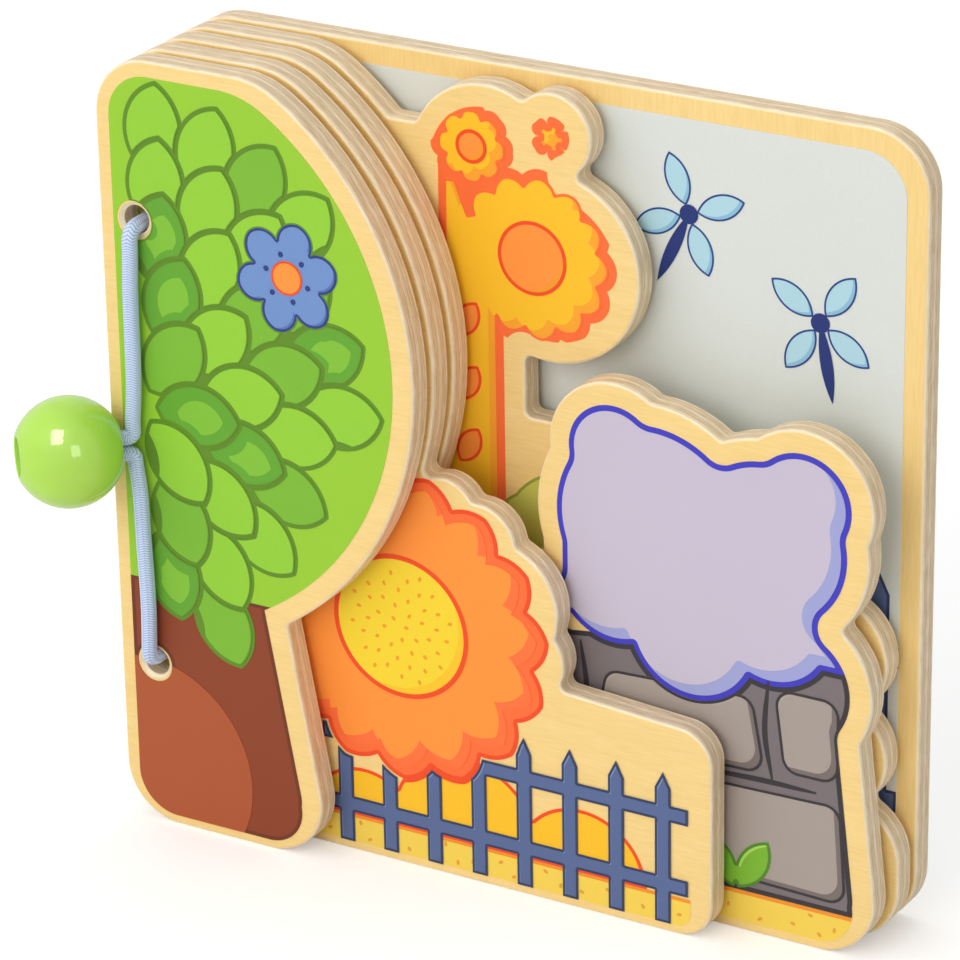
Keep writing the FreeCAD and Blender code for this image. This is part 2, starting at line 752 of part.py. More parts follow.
parts = []
for index, name in enumerate(BOARDS):
    parts.append(board_body(index, name))
    area = print_outline(name)
    for node, level, shapes in PRINTS[name](area):
        parts.append(print_field(node, index, shapes, f"-{level} * sizes.ink_thickness"))
    back = "sizes.board_thickness + sizes.ink_thickness"
    parts.append(print_field(name + "_plain_back", index, [area], back))
parts += [bead(), cord()]
doc.recompute()

for thing in doc.Objects:
    if "Invalid" in thing.State or "Error" in thing.State:
        raise RuntimeError(f"{thing.Name} is not well made: {thing.State}")
for part in parts:
    if part.Shape.isNull() or not part.Shape.isValid() or not part.Shape.Solids:
        raise RuntimeError(f"{part.Label} has no valid solid")

os.makedirs("parts", exist_ok=True)
for part in parts:
    part.Shape.exportStep(f"parts/{part.Label}.step")
print(len(parts), "parts written")
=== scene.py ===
"""Finish of a wooden baby book: printed plywood boards on an elastic cord with a lacquered bead.

Each operator dresses or builds one group of pieces, and main() calls them in order.  Lengths are in
metres.  X runs from the spine to the open side, Y from the front cover to the back cover, Z up.
"""
import json
import math
import random

import bpy
import numpy as np
from bpy.props import FloatProperty, FloatVectorProperty, IntProperty, PointerProperty
from mathutils import Matrix, Quaternion, Vector
from mathutils.geometry import delaunay_2d_cdt

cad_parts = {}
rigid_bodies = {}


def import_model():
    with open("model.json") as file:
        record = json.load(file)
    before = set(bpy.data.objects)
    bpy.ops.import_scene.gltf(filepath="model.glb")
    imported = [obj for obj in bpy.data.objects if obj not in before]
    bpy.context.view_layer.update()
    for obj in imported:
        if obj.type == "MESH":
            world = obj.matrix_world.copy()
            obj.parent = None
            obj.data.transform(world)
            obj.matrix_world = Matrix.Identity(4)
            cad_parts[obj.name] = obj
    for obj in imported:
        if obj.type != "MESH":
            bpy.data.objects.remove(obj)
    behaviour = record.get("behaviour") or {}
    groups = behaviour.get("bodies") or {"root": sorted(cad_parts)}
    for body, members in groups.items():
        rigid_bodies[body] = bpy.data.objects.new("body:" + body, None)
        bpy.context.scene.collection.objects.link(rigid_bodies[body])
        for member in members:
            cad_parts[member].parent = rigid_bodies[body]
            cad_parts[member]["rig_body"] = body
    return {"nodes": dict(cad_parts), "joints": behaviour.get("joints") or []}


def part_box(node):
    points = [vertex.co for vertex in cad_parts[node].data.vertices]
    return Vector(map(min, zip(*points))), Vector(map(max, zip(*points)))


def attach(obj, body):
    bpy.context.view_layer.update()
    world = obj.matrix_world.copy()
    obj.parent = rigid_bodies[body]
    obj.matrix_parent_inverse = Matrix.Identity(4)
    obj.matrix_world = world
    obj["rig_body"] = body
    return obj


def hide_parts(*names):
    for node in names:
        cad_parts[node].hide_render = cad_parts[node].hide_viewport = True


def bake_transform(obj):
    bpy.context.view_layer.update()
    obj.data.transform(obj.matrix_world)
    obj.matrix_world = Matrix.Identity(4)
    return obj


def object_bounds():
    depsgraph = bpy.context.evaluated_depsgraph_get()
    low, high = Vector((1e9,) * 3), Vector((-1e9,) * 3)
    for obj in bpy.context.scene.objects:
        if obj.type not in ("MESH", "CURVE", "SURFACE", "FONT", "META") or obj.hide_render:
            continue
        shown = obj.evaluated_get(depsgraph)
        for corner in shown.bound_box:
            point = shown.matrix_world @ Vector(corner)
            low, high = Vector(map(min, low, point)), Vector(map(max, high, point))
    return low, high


bl_info = {
    "name": "Wooden Baby Book",
    "version": (1, 0, 0),
    "blender": (4, 5, 0),
    "location": "3D View > Sidebar > Baby Book",
    "description": "Dresses the plywood boards, prints, bead and elastic cord of a baby book",
    "category": "Object",
}

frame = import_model()
CAD_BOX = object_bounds()
MM = 0.001
NODES = frame["nodes"]
BOARDS = ["front_cover", "page_1", "page_2", "page_3", "back_cover"]


def srgb(red, green, blue):
    """A colour given as 0 to 255 on screen, as the linear colour that a shader takes."""
    shares = [value / 255 for value in (red, green, blue)]
    return tuple(share / 12.92 if share <= 0.04045 else ((share + 0.055) / 1.055) ** 2.4
                 for share in shares)


# ---- settings ----

INKS = {
    "ink_green": (152, 203, 52),
    "ink_leaf_green": (124, 184, 52),
    "ink_dark_green": (100, 164, 48),
    "ink_leaf_line": (98, 140, 38),
    "ink_brown": (174, 87, 50),
    "ink_dark_brown": (140, 66, 38),
    "ink_blue": (112, 145, 200),
    "ink_orange": (255, 150, 60),
    "ink_red_orange": (252, 112, 56),
    "ink_yellow": (247, 214, 50),
    "ink_gold": (252, 194, 38),
    "ink_sand": (245, 210, 84),
    "ink_slate": (88, 106, 150),
    "ink_grey": (122, 112, 114),
    "ink_light_grey": (168, 156, 148),
    "ink_lavender": (200, 190, 208),
    "ink_deep_blue": (66, 62, 190),
    "ink_sky": (218, 222, 216),
    "ink_light_blue": (176, 214, 226),
    "ink_navy": (36, 52, 116),
    "ink_olive": (206, 208, 96),
}

# Drawn tints: the ink slot that each belongs to, and its colour.
TINTS = {
    "light_leaf": ("ink_green", (148, 205, 56)),
    "leaf_patch": ("ink_leaf_green", (130, 190, 56)),
    "blossom_line": ("ink_navy", (48, 62, 128)),
    "blossom_shade": ("ink_blue", (86, 116, 180)),
    "blossom_light": ("ink_blue", (142, 172, 218)),
    "trunk_line": ("ink_dark_brown", (112, 54, 34)),
    "orange_line": ("ink_red_orange", (242, 78, 34)),
    "orange_shade": ("ink_red_orange", (255, 116, 60)),
    "gold_shade": ("ink_gold", (255, 198, 40)),
    "seed": ("ink_orange", (243, 158, 36)),
    "fence_line": ("ink_slate", (52, 62, 96)),
    "fence_light": ("ink_slate", (124, 146, 190)),
    "sand_line": ("ink_orange", (243, 146, 44)),
    "sand_speck": ("ink_orange", (232, 160, 60)),
    "cloud_shade": ("ink_deep_blue", (160, 164, 212)),
    "rock_line": ("ink_grey", (58, 54, 58)),
    "rock_shade": ("ink_grey", (122, 110, 106)),
    "rock_light": ("ink_light_grey", (176, 164, 154)),
    "tuft_line": ("ink_dark_green", (82, 138, 44)),
    "tuft_light": ("ink_green", (168, 216, 90)),
    "plant_shade": ("ink_orange", (250, 166, 44)),
    "foliage_line": ("ink_olive", (150, 160, 62)),
    "wing_line": ("ink_navy", (46, 66, 132)),
    "wing_shade": ("ink_light_blue", (140, 188, 214)),
}


def colour_property(name, description, default):
    """A colour setting."""
    return FloatVectorProperty(name=name, description=description, default=srgb(*default),
                               subtype="COLOR", size=3, min=0.0, max=1.0)


def length_property(name, description, default):
    """A length setting, its default in millimetres."""
    return FloatProperty(name=name, description=description, default=default * MM, min=0.0,
                         unit="LENGTH", precision=5)


def share_property(name, description, default):
    """A setting from 0 to 1."""
    return FloatProperty(name=name, description=description, default=default, subtype="FACTOR",
                         min=0.0, max=1.0)


def power_property(name, description, default):
    """The power of a lamp in watts."""
    return FloatProperty(name=name, description=description, default=default, min=0.0, unit="POWER")


class WoodSettings(bpy.types.PropertyGroup):
    """The plywood of the boards."""
    face_light: colour_property("Face, light", "Early wood on the boards' faces", (252, 220, 150))
    face_dark: colour_property("Face, dark", "Late wood on the boards' faces", (238, 202, 126))
    edge_light: colour_property("Edge, light", "Light streaks in the cut plies", (250, 234, 206))
    edge_dark: colour_property("Edge, dark", "Dark streaks in the cut plies", (220, 196, 156))
    # Painted highlight: a pale line along the rounded edges, where the lacquer would catch the light.
    arris: colour_property("Arris", "Sanded edge between face and side", (255, 244, 218))
    end_grain: colour_property("End grain", "Tint of plies cut across their grain", (244, 237, 228))
    glue_line: colour_property("Glue line", "Tint of the lines between plies", (228, 216, 198))
    plies: IntProperty(name="Plies", description="Sheets of veneer in a board", default=5, min=3)


class PrintSettings(bpy.types.PropertyGroup):
    """The print on the boards."""
    __annotations__ = {slot: colour_property(slot.replace("_", " "), "Colour of one ink", colour)
                       for slot, colour in INKS.items()}
    __annotations__.update({name: colour_property(name.replace("_", " "), "Colour of one tint", colour)
                            for name, (slot, colour) in TINTS.items()})
    __annotations__["line_rise"] = length_property("Rise", "How far drawn marks stand on the ink", 0.02)
    __annotations__["leaf_line"] = length_property("Leaf line", "Extra width of the leaves' lines", 0.22)


class BeadSettings(bpy.types.PropertyGroup):
    """The turned and lacquered bead."""
    lacquer: colour_property("Lacquer", "Colour of the glossy lacquer", (180, 228, 84))
    flat_share: share_property("Flats", "Distance of the flats as a share of the radius", 0.91)
    rim_round: length_property("Rim rounding", "Radius of the rounded rims", 0.3)
    bore_radius: length_property("Bore", "Radius of the cord's bore", 2.325)
    seat_radius: length_property("Knot seat", "Radius of the knot's seat", 2.8)
    seat_depth: length_property("Knot seat depth", "Depth of the knot's seat", 5.4)


class CordSettings(bpy.types.PropertyGroup):
    """The elastic cord."""
    # Painted highlight on the braid's crests and painted shade in its grooves.
    crest: colour_property("Crest", "Colour on the braid's crests", (214, 227, 250))
    groove: colour_property("Groove", "Colour between the braid's ribs", (148, 171, 218))
    diameter: length_property("Diameter", "Thickness of the cord", 2.2)
    rib_pitch: length_property("Rib pitch", "Distance between two ribs of the braid", 0.36)
    rib_height: length_property("Rib height", "Height of the ribs", 0.035)
    sides: IntProperty(name="Sides", description="Sides of the round cord", default=20, min=8)


class StageSettings(bpy.types.PropertyGroup):
    """Floor, lamps and camera."""
    floor: colour_property("Floor", "Colour of the plain floor", (244, 244, 244))
    floor_glow: share_property("Floor glow", "White that the camera sees added to the floor", 0.3)
    surroundings: share_property("Surroundings", "Strength of the even light from all round", 0.5)
    key_power: power_property("Key lamp", "Power of the lamp at the spine side", 8.0)
    fill_power: power_property("Fill lamp", "Power of the lamp in front of the open side", 14.0)
    top_power: power_property("Top lamp", "Power of the lamp above", 9.0)
    window_power: power_property("Windows", "Power of the larger lamp that the bead mirrors", 9.5)


# ---- materials ----

def add_node(tree, kind, inputs=None, **settings):
    """A new node with its settings; each input takes a value or a link from a socket."""
    made = tree.nodes.new(kind)
    for name, value in settings.items():
        setattr(made, name, value)
    for name, value in (inputs or {}).items():
        if isinstance(value, bpy.types.NodeSocket):
            tree.links.new(value, made.inputs[name])
        else:
            made.inputs[name].default_value = value
    return made


def maths(tree, operation, *values):
    """The result of one math node."""
    return add_node(tree, "ShaderNodeMath", dict(enumerate(values)), operation=operation).outputs[0]


def vector_maths(tree, operation, first, second):
    """The result of one vector math node."""
    return add_node(tree, "ShaderNodeVectorMath", {0: first, 1: second}, operation=operation).outputs[0]


def smooth_step(tree, value, low, high):
    """0 below low, 1 above high, and smooth between them."""
    return add_node(tree, "ShaderNodeMapRange", {"Value": value, "From Min": low, "From Max": high},
                    interpolation_type="SMOOTHSTEP").outputs["Result"]


def mixed(tree, factor, first, second, blend="MIX"):
    """Two colours mixed by a factor."""
    made = tree.nodes.new("ShaderNodeMix")
    made.data_type = "RGBA"
    made.blend_type = blend
    colours = [socket for socket in made.inputs if socket.type == "RGBA"]
    for socket, value in ((made.inputs["Factor"], factor), (colours[0], first), (colours[1], second)):
        if isinstance(value, bpy.types.NodeSocket):
            tree.links.new(value, socket)
        else:
            socket.default_value = value if isinstance(value, float) else (*value, 1.0)
    return next(socket for socket in made.outputs if socket.type == "RGBA")


def noise(tree, place, scale, detail=2.0, roughness=0.5):
    """Noise at a place; the scale is one number, or one to each axis."""
    scale = scale if isinstance(scale, tuple) else (scale, scale, scale)
    inputs = {"Vector": vector_maths(tree, "MULTIPLY", place, scale), "Scale": 1.0,
              "Detail": detail, "Roughness": roughness}
    return add_node(tree, "ShaderNodeTexNoise", inputs).outputs["Fac"]


def new_material(name, roughness, specular=0.5, coat=0.0, coat_roughness=0.1):
    """A material, its node tree and its shader, with the gloss set."""
    material = bpy.data.materials.new(name)
    material.use_nodes = True
    tree = material.node_tree
    shader = tree.nodes["Principled BSDF"]
    shader.inputs["Roughness"].default_value = roughness
    shader.inputs["Specular IOR Level"].default_value = specular
    shader.inputs["Coat Weight"].default_value = coat
    shader.inputs["Coat Roughness"].default_value = coat_roughness
    return material, tree, shader


def bump(tree, shader, height, distance, strength=1.0):
    """Relief on a shader."""
    made = add_node(tree, "ShaderNodeBump", {"Height": height, "Distance": distance, "Strength": strength})
    tree.links.new(made.outputs["Normal"], shader.inputs["Normal"])


def new_object(name, data):
    """A new object in the scene."""
    made = bpy.data.objects.new(name, data)
    bpy.context.scene.collection.objects.link(made)
    return made


def dress(piece, material):
    """Give a piece one material."""
    piece.data.materials.clear()
    piece.data.materials.append(material)


UPRIGHT_GRAIN = {"back_cover"}
# How fine the grain is along and across its fibres, in waves to the metre.
FACE_GRAIN = (260.0, 3400.0)
SIDE_GRAIN = (380.0, 5000.0)
FACE_RELIEF = 0.004
BAND_WIDTH = 9
GRAIN_SEED = 0.7
WAVER_SCALE = 90
WAVER_DEPTH = 0.16
# How strongly the painted highlight shows on the rounded edges.
ARRIS_HIGHLIGHT_SHARE = 0.4


def ply_layers(tree, place, seeded, side, thickness):
    """The sides' colour with each second ply crossed and glue between the plies."""
    wood = bpy.context.scene.book_wood
    depth = add_node(tree, "ShaderNodeSeparateXYZ", {0: place}).outputs["Y"]
    through = maths(tree, "MULTIPLY", depth, wood.plies / thickness)
    waver = noise(tree, seeded, WAVER_SCALE)
    through = maths(tree, "MULTIPLY_ADD", waver, WAVER_DEPTH, through)
    through = maths(tree, "SUBTRACT", through, WAVER_DEPTH / 2)
    ply = maths(tree, "ROUND", through)
    crossed = maths(tree, "MODULO", maths(tree, "ABSOLUTE", ply), 2.0)
    glue = smooth_step(tree, maths(tree, "ABSOLUTE", maths(tree, "SUBTRACT", through, ply)), 0.4, 0.5)
    side = mixed(tree, crossed, side, mixed(tree, 1.0, side, wood.end_grain, "MULTIPLY"))
    return mixed(tree, glue, side, mixed(tree, 1.0, side, wood.glue_line, "MULTIPLY"))


def plywood(board):
    """Birch plywood under satin lacquer: fine grain on the faces, streaked plies at the sides, and a
    painted highlight along the rounded edges.
    """
    wood = bpy.context.scene.book_wood
    material, tree, shader = new_material("birch_ply_" + board, 0.5, 0.3)
    low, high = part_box(board)
    coords = add_node(tree, "ShaderNodeTexCoord")
    place = vector_maths(tree, "SUBTRACT", coords.outputs["Object"], (0, (low.y + high.y) / 2, 0))
    seed = GRAIN_SEED * (BOARDS.index(board) + 1)
    seeded = vector_maths(tree, "ADD", place, (seed, seed, seed))
    normal = add_node(tree, "ShaderNodeSeparateXYZ", {0: coords.outputs["Normal"]})
    facing = maths(tree, "ABSOLUTE", normal.outputs["Y"])

    along, across = FACE_GRAIN
    scale = (across, across, along) if board in UPRIGHT_GRAIN else (along, across, across)
    grain = noise(tree, seeded, scale, 3.0, 0.6)
    bands = noise(tree, seeded, tuple(value / BAND_WIDTH for value in scale))
    streak = smooth_step(tree, grain, 0.25, 0.75)
    tone = maths(tree, "MULTIPLY_ADD", streak, 0.45, maths(tree, "MULTIPLY", bands, 0.55))
    face = mixed(tree, tone, wood.face_dark, wood.face_light)

    along, across = SIDE_GRAIN
    layers = noise(tree, seeded, (along, across, along), 4.0, 0.65)
    side = mixed(tree, smooth_step(tree, layers, 0.3, 0.7), wood.edge_dark, wood.edge_light)
    side = ply_layers(tree, place, seeded, side, high.y - low.y)

    on_face = smooth_step(tree, facing, 0.6, 0.95)
    # Painted highlight on the rounded edges between face and side, picked out by which way the surface
    # faces.
    arris = maths(tree, "SUBTRACT", smooth_step(tree, facing, 0.25, 0.6),
                  smooth_step(tree, facing, 0.8, 0.99))
    colour = mixed(tree, maths(tree, "MULTIPLY", arris, ARRIS_HIGHLIGHT_SHARE), mixed(tree, on_face, side, face),
                   wood.arris)
    tree.links.new(colour, shader.inputs["Base Color"])
    relief = add_node(tree, "ShaderNodeMix", {"Factor": on_face, "A": layers, "B": grain}).outputs[0]
    bump(tree, shader, relief, FACE_RELIEF * MM, 0.6)
    return material


# How fine the printed grit and wash are, how much each lightens the ink, and the ink without them.
GRIT_SCALE = 5200
GRIT_DEPTH = 0.08
WASH_SCALE = 45
WASH_DEPTH = 0.05
DARKEST_INK = 0.935
INK_RELIEF = 0.003


def ink(name, colour):
    """Satin ink with a fine printed grit."""
    material, tree, shader = new_material(name, 0.5, 0.25)
    coords = add_node(tree, "ShaderNodeTexCoord").outputs["Object"]
    wash = maths(tree, "MULTIPLY_ADD", noise(tree, coords, WASH_SCALE), WASH_DEPTH, DARKEST_INK)
    worn = maths(tree, "MULTIPLY_ADD", noise(tree, coords, GRIT_SCALE, 1.0), GRIT_DEPTH, wash)
    grey = add_node(tree, "ShaderNodeCombineXYZ", {0: worn, 1: worn, 2: worn}).outputs[0]
    tree.links.new(mixed(tree, 1.0, colour, grey, "MULTIPLY"), shader.inputs["Base Color"])
    along, across = FACE_GRAIN
    bump(tree, shader, noise(tree, coords, (along, across, across)), INK_RELIEF * MM, 0.5)
    return material


def ink_for(name):
    """The ink of a slot or tint; each is made once."""
    found = bpy.data.materials.get("print_" + name)
    return found or ink("print_" + name, tuple(getattr(bpy.context.scene.book_print, name)))


# ---- drawn marks ----

SUNLIT = Vector((-0.75, 0.66))
UPWARD = Vector((0, 1))
FACING_FRONT = -0.99
CUT_PRECISION = 1e-5
# Heights above the ink and depths of marks, as shares of the rise.
OUTLINE_RISE = 1.4
MARK_DEPTH = 1.5
BRUSH_TIP = 0.06
BRUSH_FULLNESS = 0.6
DOT_SIDES = 12
SPECK_WIDTH = 0.8


def front_loops(node):
    """The outlines of a printed field's front as lists of (x, z), the ink on the left."""
    mesh = NODES[node].data

    def key(index):
        co = mesh.vertices[index].co
        return round(co.x, 7), round(co.z, 7)

    edges = set()
    for face in mesh.polygons:
        if face.normal.y < FACING_FRONT:
            corners = [key(index) for index in face.vertices]
            edges.update(zip(corners, corners[1:] + corners[:1]))
    border = {start: end for start, end in edges if (end, start) not in edges and start != end}
    loops = []
    while border:
        start = min(border)
        loop = [start]
        at = border.pop(start)
        while at != start and at in border:
            loop.append(at)
            at = border.pop(at)
        if len(loop) > 2:
            loops.append([Vector(point) for point in loop])
    return loops


def islands(node):
    """The separate fields of a printed node, each as its outline and its holes, the ink on the left."""
    loops = front_loops(node)
    outlines = [[loop] for loop in loops if loop_area(loop) > 0]
    for hole in loops:
        if loop_area(hole) < 0:
            around = [outline for outline in outlines if inside(hole[0], outline[0])]
            min(around, key=lambda outline: loop_area(outline[0])).append(hole)
    return outlines


def loop_area(loop):
    """The area inside a loop, below zero round a hole."""
    return 0.5 * sum(a.x * b.y - b.x * a.y for a, b in zip(loop, loop[1:] + loop[:1]))


def loop_centre(loop):
    """The middle of a loop's area."""
    area = loop_area(loop)
    weights = [(a + b) * (a.x * b.y - b.x * a.y) for a, b in zip(loop, loop[1:] + loop[:1])]
    return sum(weights, Vector((0, 0))) / (6 * area)


def inside(point, loop):
    """Whether a point lies in a loop."""
    odd = False
    for a, b in zip(loop, loop[1:] + loop[:1]):
        if (a.y > point.y) != (b.y > point.y):
            if point.x < a.x + (b.x - a.x) * (point.y - a.y) / (b.y - a.y):
                odd = not odd
    return odd


def line_strips(loop, width):
    """Areas that cover a line just inside a loop: one to each run and one to each inner corner."""
    strips = []
    for index, start in enumerate(loop):
        end = loop[(index + 1) % len(loop)]
        before = (start - loop[index - 1]).normalized()
        along = (end - start).normalized()
        aside = Vector((-along.y, along.x)) * width
        strips.append([start, end, end + aside, start + aside])
        if before.cross(along) < 0:
            last = Vector((-before.y, before.x)) * width
            strips.append([start, start + aside, start + (last + aside).normalized() * width, start + last])
    return strips


def carve(island, line, away=None):
    """Points and triangles of the line inside an island's outlines, or of what a move away leaves."""
    strips = [strip for loop in island for strip in line_strips(loop, line)] if line else []
    moved = [[point + away for point in loop] for loop in island] if away else []
    areas = [loop if loop_area(loop) > 0 else loop[::-1] for loop in island + moved] + strips
    points, faces = [], []
    for area in areas:
        faces.append(list(range(len(points), len(points) + len(area))))
        points += [point / MM for point in area]
    made = delaunay_2d_cdt(points, [], faces, 1, CUT_PRECISION, True)
    count = len(island)
    kept = []
    for face, holders in zip(made[2], made[5]):
        holders = set(holders)
        in_line = any(holder >= count + len(moved) for holder in holders)
        in_moved = count in holders and away and not holders & set(range(count + 1, 2 * count))
        stays = in_line if away is None else not (in_line or in_moved)
        if stays and 0 in holders and not holders & set(range(1, count)):
            kept.append(face)
    used = sorted({index for face in kept for index in face})
    place = {index: number for number, index in enumerate(used)}
    return [made[0][index] * MM for index in used], [[place[index] for index in face] for face in kept]


class Marks:
    """Flat marks of one ink, laid on the front of a printed field or board."""

    def __init__(self, name, node, tint, rise=1.0):
        self.name = name
        self.node = node
        self.tint = tint
        self.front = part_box(node)[0].y - rise * bpy.context.scene.book_print.line_rise
        self.points = []
        self.faces = []

    def add(self, outline, faces=None):
        """One closed mark, or several faces on the same points."""
        first = len(self.points)
        self.points += [(point[0], self.front, point[1]) for point in outline]
        for face in [range(len(outline))] if faces is None else faces:
            self.faces.append([first + index for index in face])

    def brush(self, points, width):
        """A drawn line through a few points, thin at both ends."""
        path = smooth_path(points)
        ups, downs = [], []
        for index, point in enumerate(path):
            before = path[max(index - 1, 0)]
            after = path[min(index + 1, len(path) - 1)]
            along = (after - before).normalized()
            share = BRUSH_TIP + (1 - 2 * BRUSH_TIP) * index / (len(path) - 1)
            half = width / 2 * math.sin(math.pi * share) ** BRUSH_FULLNESS
            aside = Vector((-along.y, along.x)) * half
            ups.append(point + aside)
            downs.append(point - aside)
        self.add(downs + ups[::-1])

    def dot(self, centre, across, up, turn):
        """An oval dot."""
        outline = []
        for number in range(DOT_SIDES):
            angle = 2 * math.pi * number / DOT_SIDES
            place = Vector((across / 2 * math.cos(angle), up / 2 * math.sin(angle)))
            place.rotate(Matrix.Rotation(turn, 2))
            outline.append(centre + place)
        self.add(outline)

    def finish(self):
        """The marks as one piece, with its ink, riding on its board."""
        mesh = bpy.data.meshes.new(self.name)
        mesh.from_pydata(self.points, [], self.faces)
        mesh.validate()
        piece = new_object(self.name, mesh)
        depth = piece.modifiers.new("ink depth", "SOLIDIFY")
        depth.thickness = MARK_DEPTH * bpy.context.scene.book_print.line_rise
        depth.offset = -1.0
        dress(piece, ink_for(self.tint))
        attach(piece, NODES[self.node]["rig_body"])


def smooth_path(points, steps=8):
    """A smooth line through a few points."""
    padded = [2 * points[0] - points[1]] + list(points) + [2 * points[-1] - points[-2]]
    path = []
    for a, b, c, d in zip(padded, padded[1:], padded[2:], padded[3:]):
        for number in range(steps):
            t = number / steps
            path.append(0.5 * (2 * b + (c - a) * t + (2 * a - 5 * b + 4 * c - d) * t ** 2
                               + (3 * b - a - 3 * c + d) * t ** 3))
    path.append(points[-1])
    return path


def on_board(x, z):
    """A place on the boards in per cent: x from the spine, z from the bottom edge."""
    low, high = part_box("back_cover")
    return Vector((low.x + (high.x - low.x) * x / 100, low.z + (high.z - low.z) * z / 100))


def draw_marks(prefix, rows):
    """One piece to a row: its name, field, tint and width in millimetres.

    It is an even line inside the field's outline or, where a line's width follows, a band past that
    line: on the side away from the sun, unless the row says which.
    """
    for piece, field, tint, width, *band in rows:
        node = f"{prefix}_{field}"
        marks = Marks(f"{prefix}_{piece}", node, tint, 1.0 if band else OUTLINE_RISE)
        line = band[0] if band else width
        side = band[1] if len(band) > 1 else -SUNLIT
        away = side * (-width * MM) if band else None
        for island in islands(node):
            marks.add(*carve(island, line * MM, away))
        marks.finish()


def speckle(node, count, seed):
    """Small oval specks strewn over a field of sand."""
    marks = Marks(node + "_specks", node, "sand_speck")
    draw = random.Random(seed)
    loop = max(front_loops(node), key=len)
    low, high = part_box(node)
    across = SPECK_WIDTH * MM
    placed = []
    while len(placed) < count:
        spot = Vector((draw.uniform(low.x, high.x), draw.uniform(low.z, high.z)))
        turn = draw.uniform(0, math.pi)
        corners = [spot + Vector(way) * across for way in ((1, 0), (0, 1), (-1, 0), (0, -1))]
        clear = all((spot - other).length > 3 * across for other in placed)
        if clear and all(inside(corner, loop) for corner in corners):
            placed.append(spot)
            marks.dot(spot, across, 0.6 * across, turn)
    marks.finish()


# ---- operators ----

class BABYBOOK_OT_boards(bpy.types.Operator):
    """Give each board its plywood"""
    bl_idname = "baby_book.boards"
    bl_label = "Finish Boards"

    def execute(self, context):
        for board in BOARDS:
            dress(NODES[board], plywood(board))
        return {"FINISHED"}


class BABYBOOK_OT_inks(bpy.types.Operator):
    """Give each printed field its ink"""
    bl_idname = "baby_book.inks"
    bl_label = "Ink Prints"

    def execute(self, context):
        for node in NODES.values():
            slot = node.data.materials[0].name
            if slot in INKS:
                dress(node, ink_for(slot))
        return {"FINISHED"}


LEAF_PATCH_SCALE = 0.56
LEAF_PATCH_LEAN = 0.4
SMALLEST_LIT_LEAF = 9.0
LIGHT_LEAF_SHARE = 0.5
LEAF_SEED = 7
# A move that takes a leaf clear of itself, so that all of it stays.
FAR_AWAY = Vector((1, 0))


class BABYBOOK_OT_tree(bpy.types.Operator):
    """Draw the finer marks on the front cover's tree"""
    bl_idname = "baby_book.tree"
    bl_label = "Draw Tree"

    def execute(self, context):
        leaf_line = context.scene.book_print.leaf_line / MM
        self.lighten_leaves()
        self.draw_patches()
        draw_marks("front", [
            ("leaf_outline", "leaves", "ink_leaf_line", leaf_line),
            ("dark_leaf_outline", "dark_leaves", "ink_leaf_line", leaf_line),
            ("blossom_line", "blossom", "blossom_line", 0.35),
            ("blossom_shades", "blossom", "blossom_shade", 0.7, 0.35),
            ("blossom_lights", "blossom", "blossom_light", 0.4, 0.35, SUNLIT),
            ("blossom_eye_line", "blossom_eye", "orange_line", 0.3),
            ("trunk_line", "trunk", "trunk_line", 0.5),
        ])
        return {"FINISHED"}

    def lighten_leaves(self):
        """About half of the leaves in a brighter green."""
        draw = random.Random(LEAF_SEED)
        marks = Marks("front_light_leaves", "front_leaves", "light_leaf", 0.6)
        for island in sorted(islands("front_leaves"), key=lambda island: tuple(loop_centre(island[0]))):
            if draw.random() < LIGHT_LEAF_SHARE:
                marks.add(*carve(island, 0.0, FAR_AWAY))
        marks.finish()

    def draw_patches(self):
        """A lighter patch on the larger of the dark leaves."""
        marks = Marks("front_dark_leaf_patches", "front_dark_leaves", "leaf_patch", 0.8)
        lean = SUNLIT * (-LEAF_PATCH_LEAN * MM)
        for island in islands("front_dark_leaves"):
            centre = loop_centre(island[0])
            if loop_area(island[0]) > SMALLEST_LIT_LEAF * MM ** 2:
                marks.add([centre + lean + (point - centre) * LEAF_PATCH_SCALE for point in island[0]])
        marks.finish()


SEED_COUNT = 46
SEED_SIZE = (0.75, 0.5)
SEEDS_FROM_EDGE = 2.2
GOLDEN_ANGLE = math.radians(137.5)


class BABYBOOK_OT_garden(bpy.types.Operator):
    """Draw the finer marks on page 1's flower and fence"""
    bl_idname = "baby_book.garden"
    bl_label = "Draw Flower and Fence"

    def execute(self, context):
        draw_marks("page_1", [
            ("petal_line", "petal_tips", "orange_line", 0.6),
            ("petal_shades", "petals", "orange_shade", 1.6, 0.0),
            ("flower_eye_line", "flower_eye", "orange_line", 0.7),
            ("flower_eye_shade", "flower_eye", "gold_shade", 2.0, 0.7),
        ])
        self.draw_seeds()
        draw_marks("page_1", [
            ("fence_line", "fence", "fence_line", 0.34),
            ("fence_light", "fence", "fence_light", 0.55, 0.34, SUNLIT),
            ("mound_line", "mounds", "orange_line", 0.5),
            ("mound_shade", "mounds", "ink_orange", 1.4, 0.5),
            ("sand_line", "sand", "sand_line", 0.5, 0.0, UPWARD),
        ])
        speckle("page_1_sand", 26, 11)
        return {"FINISHED"}

    def draw_seeds(self):
        """Seeds in a spiral over the flower's eye."""
        low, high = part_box("page_1_flower_eye")
        centre = Vector((low.x + high.x, low.z + high.z)) / 2
        reach = (high.x - low.x) / 2 - SEEDS_FROM_EDGE * MM
        marks = Marks("page_1_seeds", "page_1_flower_eye", "seed")
        long, wide = SEED_SIZE
        for number in range(SEED_COUNT):
            angle = GOLDEN_ANGLE * number
            place = Vector((math.cos(angle), math.sin(angle))) * reach
            place *= math.sqrt((number + 0.5) / SEED_COUNT)
            marks.dot(centre + place, long * MM, wide * MM, angle)
        marks.finish()


